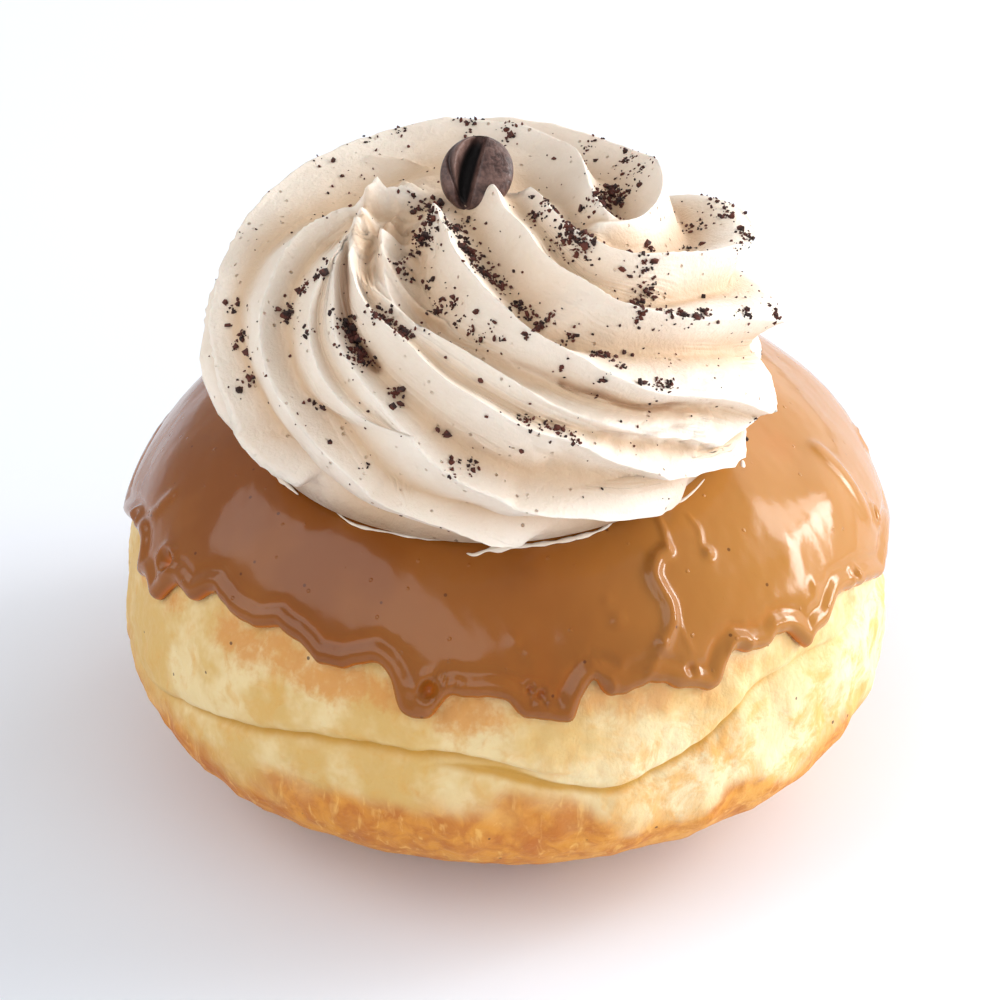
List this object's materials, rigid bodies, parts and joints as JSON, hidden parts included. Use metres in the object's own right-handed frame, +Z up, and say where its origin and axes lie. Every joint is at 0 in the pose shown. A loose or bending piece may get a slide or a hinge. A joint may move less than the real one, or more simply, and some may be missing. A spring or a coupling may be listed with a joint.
{
  "type": "cream-topped doughnut",
  "caption": "Round glazed doughnut without a hole, topped with a star-piped swirl of coffee cream, coffee grounds and a coffee bean.",
  "frame": {"origin": "middle of the flat underside of the dough, on the surface the doughnut stands on", "axes": "+Z up through the doughnut to the cream; -Y is the front, the side the picture shows; +X is to the right seen from the front"},
  "size_m": [0.0884, 0.0876, 0.0779],
  "materials": {
    "crust": "soft fried yeast dough, pale yellow round the middle and golden brown below",
    "coffee_glaze": "glossy set sugar glaze, milk-coffee brown",
    "coffee_cream": "satin coffee cream, pale beige, with dark ground coffee on it",
    "roasted_bean": "dark roasted, low sheen"
  },
  "bodies": {
    "root": {"dough": "crust", "glaze": "coffee_glaze", "cream_swirl": "coffee_cream", "coffee_bean": "roasted_bean"}
  },
  "joints": []
}
